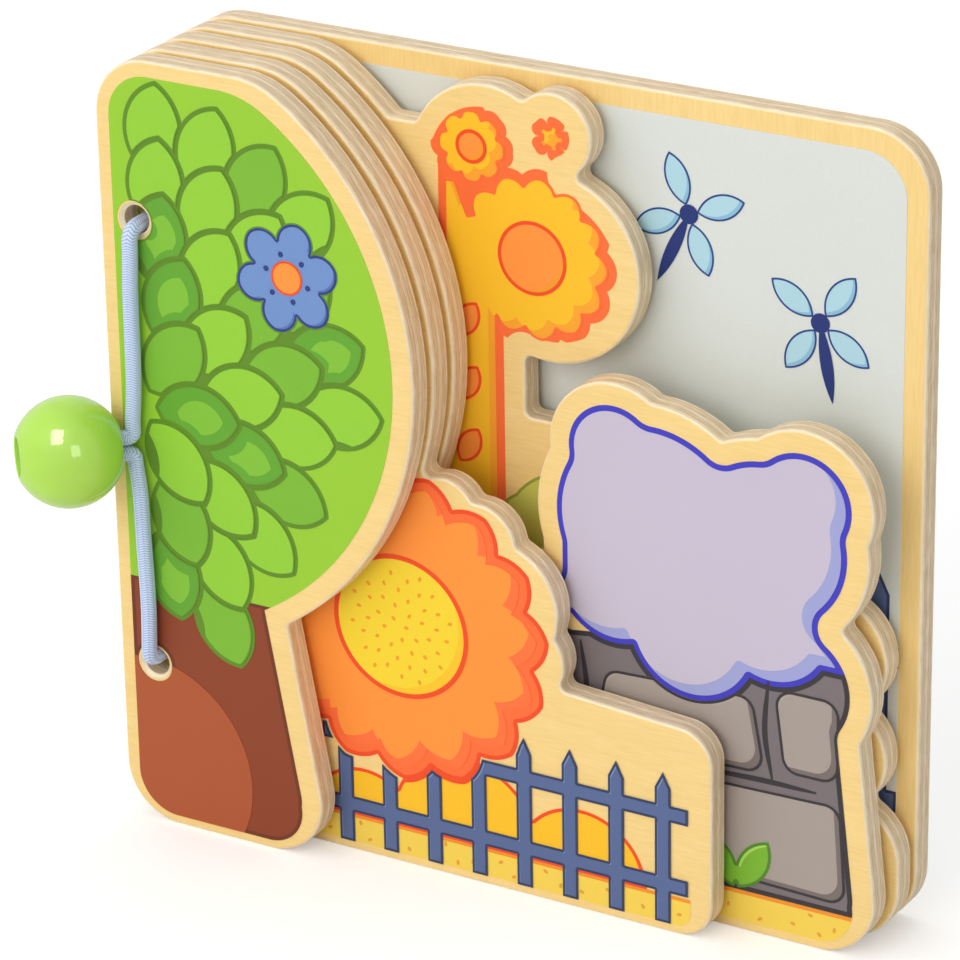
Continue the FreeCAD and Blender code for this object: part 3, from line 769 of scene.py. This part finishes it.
CRACK_WIDTH = 0.8
ROCK_CRACKS = [
    [(58.0, 19.6), (66.0, 19.2), (75.0, 20.4)],
    [(75.4, 20.2), (84.0, 20.6), (91.4, 20.6)],
    [(76.6, 6.4), (76.0, 13.0), (75.4, 20.2)],
    [(85.6, 21.0), (84.6, 27.0), (85.0, 33.6)],
    [(60.2, 20.6), (60.8, 27.0), (60.0, 33.4)],
]


class BABYBOOK_OT_cloud(bpy.types.Operator):
    """Draw the finer marks on page 2's cloud and stone wall"""
    bl_idname = "baby_book.cloud"
    bl_label = "Draw Cloud and Wall"

    def execute(self, context):
        draw_marks("page_2", [
            ("cloud_shade", "cloud", "cloud_shade", 1.9, 0.0),
            ("rock_line", "rocks", "rock_line", 0.7),
            ("block_line", "rock_tops", "rock_line", 0.4),
            ("block_shade", "rock_tops", "rock_shade", 1.5, 0.4),
            ("block_light", "rock_tops", "rock_light", 0.7, 0.4, SUNLIT),
        ])
        cracks = Marks("page_2_cracks", "page_2_rocks", "rock_line", 1.2)
        for points in ROCK_CRACKS:
            cracks.brush([on_board(x, z) for x, z in points], CRACK_WIDTH * MM)
        cracks.finish()
        draw_marks("page_2", [
            ("tuft_line", "tuft", "tuft_line", 0.4),
            ("tuft_light", "tuft", "tuft_light", 0.8, 0.4, SUNLIT),
            ("sand_line", "sand", "sand_line", 0.6, 0.0, UPWARD),
        ])
        speckle("page_2_sand", 22, 5)
        return {"FINISHED"}


class BABYBOOK_OT_plant(bpy.types.Operator):
    """Draw the finer marks on page 3's tall plant"""
    bl_idname = "baby_book.plant"
    bl_label = "Draw Plant"

    def execute(self, context):
        draw_marks("page_3", [
            ("plant_outline", "plant", "ink_red_orange", 0.35),
            ("plant_shade", "plant", "plant_shade", 1.8, 0.35),
            ("eye_line", "flower_eyes", "orange_line", 0.5),
            ("eye_shade", "flower_eyes", "seed", 1.0, 0.5),
            ("patch_line", "patches", "orange_line", 0.4),
            ("foliage_line", "foliage", "foliage_line", 0.4),
            ("meadow_line", "meadow", "foliage_line", 0.4),
        ])
        return {"FINISHED"}


class BABYBOOK_OT_sky(bpy.types.Operator):
    """Draw the finer marks on the back cover's pinwheels and fence"""
    bl_idname = "baby_book.sky"
    bl_label = "Draw Sky"

    def execute(self, context):
        draw_marks("back_cover", [
            ("pinwheel_line", "pinwheels", "wing_line", 0.26),
            ("pinwheel_shade", "pinwheels", "wing_shade", 0.8, 0.26),
            ("fence_line", "fence", "fence_line", 0.4),
            ("fence_light", "fence", "fence_light", 0.55, 0.4, SUNLIT),
            ("sand_line", "sand", "sand_line", 0.6, 0.0, UPWARD),
        ])
        return {"FINISHED"}


# ---- bead and cord ----

PINCH = Vector(next(found["pos_m"] for found in frame["joints"] if found["name"] == "bead_swing"))
BEAD_LOW, BEAD_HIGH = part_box("bead")
BEAD_CENTRE = (BEAD_LOW + BEAD_HIGH) / 2
BEAD_RADIUS = (BEAD_HIGH.z - BEAD_LOW.z) / 2
OUTWARD = (BEAD_CENTRE - PINCH).normalized()
BEAD_TURN = OUTWARD.to_track_quat("Z", "Y").to_matrix()
BEAD_SIDES = 160
BALL_STEPS = 96
RIM_STEPS = 8
CHAMFER = 0.12
SHARP_ANGLE = math.radians(35)


def arc(centre, radius, start, end, steps):
    """Points on an arc, angles in radians."""
    angles = [start + (end - start) * number / steps for number in range(steps + 1)]
    return [(centre[0] + radius * math.cos(angle), centre[1] + radius * math.sin(angle))
            for angle in angles]


def bead_profile(bead):
    """The bead's half section as (across, along) from its inner bore round to its knot seat."""
    flat = bead.flat_share * BEAD_RADIUS
    rim = bead.rim_round
    # The rim's arc touches both the flat and the ball.
    lean = math.asin((flat - rim) / (BEAD_RADIUS - rim))
    across = (BEAD_RADIUS - rim) * math.cos(lean)
    outer = arc((across, flat - rim), rim, math.pi / 2, lean, RIM_STEPS)
    ball = arc((0.0, 0.0), BEAD_RADIUS, lean, -lean, BALL_STEPS)
    inner = [(x, -y) for x, y in reversed(outer)]
    floor = flat - bead.seat_depth
    seat = bead.seat_radius
    bore = bead.bore_radius
    chamfer = CHAMFER * MM
    mouth = [(bore, floor), (seat, floor), (seat, flat - chamfer), (seat + chamfer, flat)]
    return mouth + outer + ball[1:-1] + inner + [(bore + chamfer, -flat), (bore, -flat + chamfer)]


def turned_mesh(name, profile):
    """The bead's half section turned round its axis."""
    count = len(profile)
    points, faces = [], []
    for side in range(BEAD_SIDES):
        angle = 2 * math.pi * side / BEAD_SIDES
        near, far = side * count, (side + 1) % BEAD_SIDES * count
        for index, (across, along) in enumerate(profile):
            local = Vector((across * math.cos(angle), across * math.sin(angle), along))
            points.append(BEAD_CENTRE + BEAD_TURN @ local)
            after = (index + 1) % count
            faces.append([near + index, near + after, far + after, far + index])
    mesh = bpy.data.meshes.new(name)
    mesh.from_pydata(points, [], faces)
    mesh.validate()
    mesh.shade_smooth()
    mesh.set_sharp_from_angle(angle=SHARP_ANGLE)
    return mesh


def lacquer(bead):
    """Thick glossy lacquer over turned wood."""
    material, tree, shader = new_material("bead_lacquer", 0.4, 0.15, coat=0.75, coat_roughness=0.03)
    coords = add_node(tree, "ShaderNodeTexCoord").outputs["Object"]
    pool = noise(tree, coords, 120)
    deep = tuple(value * 0.92 for value in bead.lacquer)
    tree.links.new(mixed(tree, smooth_step(tree, pool, 0.2, 0.7), deep, bead.lacquer),
                   shader.inputs["Base Color"])
    grain = noise(tree, coords, (900, 900, 110), 3.0)
    peel = noise(tree, coords, 700)
    height = maths(tree, "MULTIPLY_ADD", peel, 0.6, maths(tree, "MULTIPLY", grain, 0.4))
    bump(tree, shader, height, 0.003 * MM)
    return material


class BABYBOOK_OT_bead(bpy.types.Operator):
    """Turn the bead and lacquer it"""
    bl_idname = "baby_book.bead"
    bl_label = "Turn Bead"

    def execute(self, context):
        bead = context.scene.book_bead
        ball = new_object("turned_bead", turned_mesh("turned_bead", bead_profile(bead)))
        dress(ball, lacquer(bead))
        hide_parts("bead")
        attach(ball, "bead")
        return {"FINISHED"}


CORD_Y = 13.84
HOLE_X = -50.4
HOLE_BEND = 4.0
BACK_MIDDLE = 56.90
# Each half: its side of the pinch, its hole's height, and its strand in front of the cover as (x, z)
# from the pinch to the hole, in millimetres.
HALVES = {
    "upper": (1, 88.55, [(-51.35, 60.40), (-50.86, 64.80), (-50.72, 70.20), (-50.70, 80.10),
                         (HOLE_X, 84.55)]),
    "lower": (-1, 25.25, [(-51.10, 54.60), (-50.50, 50.60), (-50.42, 44.50), (-50.05, 34.60),
                          (-50.20, 29.25)]),
}
NECK_BEND = 2.5
NECK_SPREAD = 1.125
PINCH_SPREAD = 1.2
KNOT_BELOW_FLAT = 2.6


def knot_reach():
    """How far the knot's middle lies from the pinch: just under the bead's outer flat."""
    flat = BEAD_RADIUS * bpy.context.scene.book_bead.flat_share
    return (BEAD_CENTRE - PINCH).length + flat - KNOT_BELOW_FLAT * MM


def route_points(side, hole, strand):
    """One half of the cord: knot, pinch, strand, hole through all boards, and the middle of the back."""
    up = Vector((0, 0, side * MM))
    neck = [PINCH + up * NECK_SPREAD + OUTWARD * reach for reach in (knot_reach(), NECK_BEND * MM)]
    front = [(x, -CORD_Y, z) for x, z in strand]
    through = [(HOLE_X, y, hole) for y in (-CORD_Y, HOLE_BEND - CORD_Y, CORD_Y - HOLE_BEND, CORD_Y)]
    back = [(HOLE_X, CORD_Y, hole - side * HOLE_BEND), (HOLE_X, CORD_Y, BACK_MIDDLE)]
    return neck + [PINCH + up * PINCH_SPREAD] + [Vector(point) * MM for point in front + through + back]


def spline_points(name, points):
    """Points along the smooth line of a route, read from its spline."""
    curve = bpy.data.curves.new(name, "CURVE")
    curve.dimensions = "3D"
    curve.resolution_u = 40
    spline = curve.splines.new("NURBS")
    spline.points.add(len(points) - 1)
    for target, point in zip(spline.points, points):
        target.co = (*point, 1.0)
    spline.order_u = 3
    spline.use_endpoint_u = True
    holder = bpy.data.objects.new(name, curve)
    line = bpy.data.meshes.new_from_object(holder)
    path = np.array([vertex.co for vertex in line.vertices], float)
    bpy.data.objects.remove(holder)
    bpy.data.meshes.remove(line)
    bpy.data.curves.remove(curve)
    return path


def evenly(path, spacing):
    """The same line with its points evenly spaced, and their distance along it."""
    along = np.concatenate([[0.0], np.cumsum(np.linalg.norm(np.diff(path, axis=0), axis=1))])
    count = max(2, round(along[-1] / spacing) + 1)
    places = np.linspace(0.0, along[-1], count)
    return np.stack([np.interp(places, along, path[:, axis]) for axis in range(3)], axis=1), places


def cross_frames(path):
    """Two directions across a line at each of its points, carried along without twist."""
    tangents = np.gradient(path, axis=0)
    tangents /= np.linalg.norm(tangents, axis=1)[:, None]
    first = np.cross(tangents[0], (0.3, 0.8, 0.5))
    across = [first / np.linalg.norm(first)]
    for tangent in tangents[1:]:
        carried = across[-1] - tangent * np.dot(across[-1], tangent)
        across.append(carried / np.linalg.norm(carried))
    across = np.array(across)
    return across, np.cross(tangents, across)


def tube_mesh(name, path, along, radii, sides, frames):
    """A closed tube round a line, with its ring angle and length stored as UV."""
    across, other = frames
    angles = 2 * math.pi * np.arange(sides) / sides
    ring = np.cos(angles)[None, :, None] * across[:, None, :]
    ring = ring + np.sin(angles)[None, :, None] * other[:, None, :]
    points = path[:, None, :] + ring * radii[:, None, None]
    count = len(path)
    rows = np.arange(count - 1)[:, None] * sides
    columns = np.arange(sides)[None, :]
    following = (columns + 1) % sides
    first, second = rows + columns, rows + following
    quads = np.stack([first, second, second + sides, first + sides], axis=2)
    faces = quads.reshape(-1, 4).tolist()
    faces += [list(range(sides - 1, -1, -1)), list(range((count - 1) * sides, count * sides))]
    mesh = bpy.data.meshes.new(name)
    mesh.from_pydata(points.reshape(-1, 3).tolist(), [], faces)
    mesh.shade_smooth()
    layer = mesh.uv_layers.new(name="braid")
    left, near, far = np.broadcast_arrays(columns / sides, along[:-1, None], along[1:, None])
    right = left + 1 / sides
    corners = np.stack([left, near, right, near, right, far, left, far], axis=2)
    flat = np.zeros(len(mesh.loops) * 2)
    flat[:corners.size] = corners.reshape(-1)
    layer.data.foreach_set("uv", flat)
    return mesh


BRAID_COLUMNS = 8.0
BRAID_SLANT = 0.9
# Rings of the tube to each rib, and how many times as many where the cord bends.
RIB_RINGS = 6
BEND_RINGS = 8
HOLE_REACH = 1.5
KNOT_POINTS = 721
KNOT_SIZE = 0.5
KNOT_THICKNESS = 0.46


def braid():
    """Woven elastic cover: slanting threads in rows that lean both ways by turns, with painted shade in the
    grooves and a painted highlight on the crests.
    """
    cord = bpy.context.scene.book_cord
    material, tree, shader = new_material("elastic_braid", 0.62)
    shader.inputs["Sheen Weight"].default_value = 0.35
    shader.inputs["Sheen Roughness"].default_value = 0.4
    uv = add_node(tree, "ShaderNodeUVMap", uv_map="braid")
    split = add_node(tree, "ShaderNodeSeparateXYZ", {0: uv.outputs["UV"]})
    column = maths(tree, "PINGPONG", maths(tree, "MULTIPLY", split.outputs["X"], BRAID_COLUMNS), 1.0)
    turns = maths(tree, "DIVIDE", split.outputs["Y"], cord.rib_pitch)
    phase = maths(tree, "MULTIPLY_ADD", column, BRAID_SLANT, turns)
    wave = maths(tree, "SINE", maths(tree, "MULTIPLY", phase, 2 * math.pi))
    thread = maths(tree, "MULTIPLY_ADD", wave, 0.5, 0.5)
    seam = smooth_step(tree, maths(tree, "ABSOLUTE", maths(tree, "SUBTRACT", column, 0.5)), 0.36, 0.5)
    height = maths(tree, "SUBTRACT", thread, maths(tree, "MULTIPLY", seam, 0.35))
    # Painted shade in the grooves and a painted highlight on the crests, set by the braid's height.
    tone = smooth_step(tree, height, -0.1, 0.8)
    tree.links.new(mixed(tree, tone, cord.groove, cord.crest), shader.inputs["Base Color"])
    bump(tree, shader, height, 0.03 * MM, 0.7)
    return material


class BABYBOOK_OT_cord(bpy.types.Operator):
    """Braid the elastic cord and knot it"""
    bl_idname = "baby_book.cord"
    bl_label = "Braid Cord"

    def execute(self, context):
        cover = braid()
        fronts = [self.build_half(half, cover) for half in HALVES]
        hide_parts("elastic_cord")
        self.build_knot(cover)
        return {"FINISHED"}

    def build_half(self, half, cover):
        """One half of the cord, split where the boards turn; returns its strand in front."""
        cord = bpy.context.scene.book_cord
        route = route_points(*HALVES[half])
        path, along = evenly(spline_points(half, route), cord.rib_pitch / RIB_RINGS)
        ribs = np.cos(2 * math.pi * along / cord.rib_pitch)
        radii = cord.diameter / 2 + cord.rib_height / 2 * (ribs - 1)
        tube = (path, along, radii, *cross_frames(path))
        # Through the boards the cord lies at its hole's level, the furthest from the pinch.
        level = path[np.argmax(np.abs(path[:, 2] - PINCH.z)), 2]
        passing = np.abs(path[:, 2] - level) < HOLE_REACH * MM

        def ring_at(y):
            return int(np.argmin(np.where(passing, np.abs(path[:, 1] - y), 1.0)))

        front = self.stretch(f"cord_{half}_front", tube, 0, ring_at(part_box(BOARDS[0])[1].y), cover)
        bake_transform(front)
        for number, (board, behind) in enumerate(zip(BOARDS, BOARDS[1:]), start=1):
            low, high = ring_at(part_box(board)[1].y), ring_at(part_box(behind)[0].y)
            gap = self.stretch(f"cord_{half}_gap_{number}", tube, low, high, cover, BEND_RINGS)
            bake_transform(gap)
            last = behind == BOARDS[-1]
            end = len(path) - 1 if last else ring_at(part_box(behind)[1].y)
            piece = self.stretch(f"cord_{half}_{'back' if last else behind}", tube, high, end, cover)
            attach(piece, behind)
        return front

    def stretch(self, name, tube, low, high, cover, finer=1):
        """One stretch of the tube between two of its rings."""
        picks = np.linspace(low, high, (high - low) * finer + 1)
        whole = np.arange(len(tube[0]))

        def pick(values):
            if values.ndim == 1:
                return np.interp(picks, whole, values)
            return np.stack([np.interp(picks, whole, values[:, axis]) for axis in range(3)], axis=1)

        path, along, radii, *frames = [pick(values) for values in tube]
        sides = bpy.context.scene.book_cord.sides
        piece = new_object(name, tube_mesh(name, path, along, radii, sides, frames))
        dress(piece, cover)
        return piece

    def build_knot(self, cover):
        """A tight overhand knot in the bead's seat."""
        cord = bpy.context.scene.book_cord
        t = np.linspace(0, 2 * math.pi, KNOT_POINTS)[:-1]
        loop = np.stack([np.sin(t) + 2 * np.sin(2 * t), np.cos(t) - 2 * np.cos(2 * t),
                         -1.5 * np.sin(3 * t)], axis=1)
        middle = np.array(PINCH + OUTWARD * knot_reach())
        path = (loop * KNOT_SIZE * MM) @ np.array(BEAD_TURN).T + middle
        path, along = evenly(np.vstack([path, path[:1]]), cord.rib_pitch / RIB_RINGS)
        radii = np.full(len(path), KNOT_THICKNESS * cord.diameter)
        mesh = tube_mesh("cord_knot", path, along, radii, cord.sides, cross_frames(path))
        knot = new_object("cord_knot", mesh)
        dress(knot, cover)
        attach(knot, "bead")


# ---- stage ----

CAMERA_PLACE = (0.302930, -0.516729, 0.316246)
CAMERA_TURN = (66.6311, 0.9411, 30.3955)
CAMERA_LENS = 184.56
FLOOR_SIZE = 6.0
BOOK_MIDDLE = (CAD_BOX[0] + CAD_BOX[1]) / 2
LAMP_DISTANCE = 2.0
WINDOW_DISTANCE = 1.0
LOW_WINDOW_SHARE = 0.25
WHITE = (1.0, 1.0, 1.0, 1.0)


def softbox(name, way, distance, size, power):
    """A flat lamp that looks at the book from one way."""
    lamp = bpy.data.lights.new(name, "AREA")
    lamp.shape = "RECTANGLE"
    lamp.size, lamp.size_y = size
    lamp.energy = power
    holder = new_object(name, lamp)
    out = Vector(way).normalized()
    holder.location = BOOK_MIDDLE + out * distance
    holder.rotation_mode = "QUATERNION"
    holder.rotation_quaternion = out.to_track_quat("Z", "Y")
    return holder


class BABYBOOK_OT_stage(bpy.types.Operator):
    """Set up the camera, the floor and the lamps"""
    bl_idname = "baby_book.stage"
    bl_label = "Set Up Stage"

    def execute(self, context):
        stage = context.scene.book_stage
        self.place_camera(context)
        self.lay_floor(stage)
        self.light_surroundings(context, stage)
        for name, way, across, power in (
                ("key_lamp", (-0.62, -0.60, 0.55), 1.3, stage.key_power),
                ("fill_lamp", (-0.02, -0.88, 0.42), 1.4, stage.fill_power),
                ("top_lamp", (-0.10, 0.15, 1.0), 1.4, stage.top_power)):
            softbox(name, way, LAMP_DISTANCE, (across, across), power).visible_glossy = False
        for name, way, size, power, roll in (
                ("high_window", (-0.031, -0.645, 0.765), (0.42, 0.53), stage.window_power, 22.0),
                ("low_window", (0.686, -0.61, 0.395), (0.32, 0.42),
                 LOW_WINDOW_SHARE * stage.window_power, 0.0)):
            window = softbox(name, way, WINDOW_DISTANCE, size, power)
            window.rotation_quaternion @= Quaternion((0, 0, 1), math.radians(roll))
            window.visible_diffuse = False
        context.scene.view_settings.view_transform = "Standard"
        return {"FINISHED"}

    def place_camera(self, context):
        """The camera looks down at the front cover from the open side."""
        lens = bpy.data.cameras.new("camera")
        lens.lens = CAMERA_LENS
        lens.clip_start = 0.01
        camera = new_object("camera", lens)
        camera.location = CAMERA_PLACE
        camera.rotation_euler = [math.radians(angle) for angle in CAMERA_TURN]
        context.scene.camera = camera

    def lay_floor(self, stage):
        """A plain pale floor just under the boards."""
        half = FLOOR_SIZE / 2
        level = CAD_BOX[0].z
        corners = [(-half, -half, level), (half, -half, level), (half, half, level), (-half, half, level)]
        mesh = bpy.data.meshes.new("floor")
        mesh.from_pydata(corners, [], [(0, 1, 2, 3)])
        floor = new_object("floor", mesh)
        material, tree, shader = new_material("floor_paper", 0.9, 0.0)
        tone = noise(tree, add_node(tree, "ShaderNodeTexCoord").outputs["Object"], 3)
        dimmer = tuple(value * 0.985 for value in stage.floor)
        tree.links.new(mixed(tree, tone, dimmer, stage.floor), shader.inputs["Base Color"])
        seen = add_node(tree, "ShaderNodeLightPath").outputs["Is Camera Ray"]
        shader.inputs["Emission Color"].default_value = WHITE
        tree.links.new(maths(tree, "MULTIPLY", seen, stage.floor_glow), shader.inputs["Emission Strength"])
        dress(floor, material)

    def light_surroundings(self, context, stage):
        """Even light from all round, seen as plain white."""
        world = bpy.data.worlds.new("surroundings")
        context.scene.world = world
        world.use_nodes = True
        tree = world.node_tree
        seen = add_node(tree, "ShaderNodeLightPath")
        either = maths(tree, "MAXIMUM", seen.outputs["Is Camera Ray"], seen.outputs["Is Glossy Ray"])
        strength = maths(tree, "MULTIPLY_ADD", either, 1.0 - stage.surroundings, stage.surroundings)
        background = tree.nodes["Background"]
        background.inputs["Color"].default_value = WHITE
        tree.links.new(strength, background.inputs["Strength"])


# ---- panel and registration ----

OPERATORS = [
    BABYBOOK_OT_stage,
    BABYBOOK_OT_cord,
    BABYBOOK_OT_bead,
    BABYBOOK_OT_boards,
    BABYBOOK_OT_inks,
    BABYBOOK_OT_tree,
    BABYBOOK_OT_garden,
    BABYBOOK_OT_cloud,
    BABYBOOK_OT_plant,
    BABYBOOK_OT_sky,
]
SETTINGS = {
    "book_wood": WoodSettings,
    "book_print": PrintSettings,
    "book_bead": BeadSettings,
    "book_cord": CordSettings,
    "book_stage": StageSettings,
}


class BABYBOOK_PT_panel(bpy.types.Panel):
    """The settings and steps of the baby book"""
    bl_label = "Wooden Baby Book"
    bl_idname = "BABYBOOK_PT_panel"
    bl_space_type = "VIEW_3D"
    bl_region_type = "UI"
    bl_category = "Baby Book"

    def draw(self, context):
        for name in SETTINGS:
            box = self.layout.box()
            settings = getattr(context.scene, name)
            for field in settings.__annotations__:
                box.prop(settings, field)
        for operator in OPERATORS:
            self.layout.operator(operator.bl_idname)


def register():
    """Register every class and hang the settings on the scene."""
    for name, settings in SETTINGS.items():
        bpy.utils.register_class(settings)
        setattr(bpy.types.Scene, name, PointerProperty(type=settings))
    for kind in OPERATORS + [BABYBOOK_PT_panel]:
        bpy.utils.register_class(kind)


def unregister():
    """Undo register()."""
    for kind in reversed(OPERATORS + [BABYBOOK_PT_panel]):
        bpy.utils.unregister_class(kind)
    for name, settings in SETTINGS.items():
        delattr(bpy.types.Scene, name)
        bpy.utils.unregister_class(settings)


def main():
    """Build everything in order."""
    register()
    for operator in OPERATORS:
        group, name = operator.bl_idname.split(".")
        getattr(getattr(bpy.ops, group), name)()


if __name__ == "__main__":
    main()
